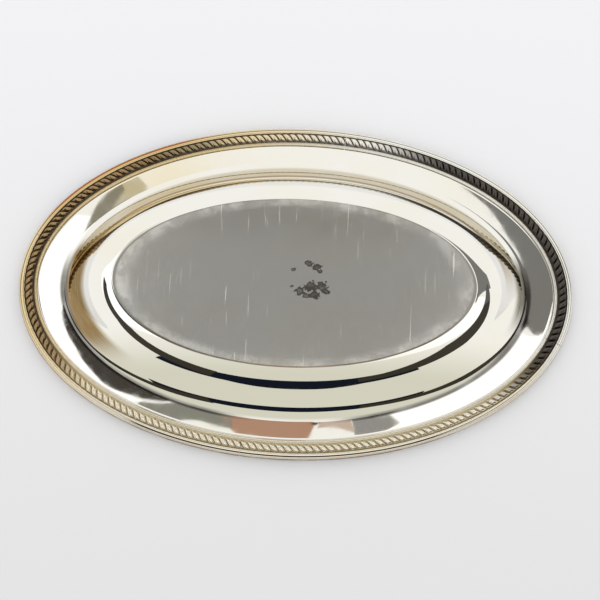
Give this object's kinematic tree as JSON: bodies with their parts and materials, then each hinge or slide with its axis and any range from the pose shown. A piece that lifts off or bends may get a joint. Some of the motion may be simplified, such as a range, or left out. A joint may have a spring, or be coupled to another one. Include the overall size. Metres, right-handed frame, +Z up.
{
  "type": "oval salver",
  "caption": "Oval silver-plated salver with a slanted gadroon border, plain flange and raised flat centre; turned over, the centre is a shallow well.",
  "frame": {"origin": "at table level, in the middle of the oval, with the salver lying on its edge and its raised face up", "axes": "+X along the long axis, +Y across, +Z up out of the raised face"},
  "size_m": [0.356, 0.219, 0.0256],
  "materials": {
    "plated_sheet": "silver plate on nickel brass, worn bright polish",
    "struck_border": "silver plate on struck nickel brass, warm tarnish",
    "edge_wire": "drawn iron wire",
    "soft_solder": "dull soft solder"
  },
  "bodies": {
    "root": {"body": "plated_sheet", "edge_wire": "edge_wire", "border_length_1": "struck_border", "border_length_2": "struck_border", "border_length_3": "struck_border", "border_length_4": "struck_border", "solder_bed_1": "soft_solder", "solder_bed_2": "soft_solder", "solder_bed_3": "soft_solder", "solder_bed_4": "soft_solder"}
  },
  "joints": []
}
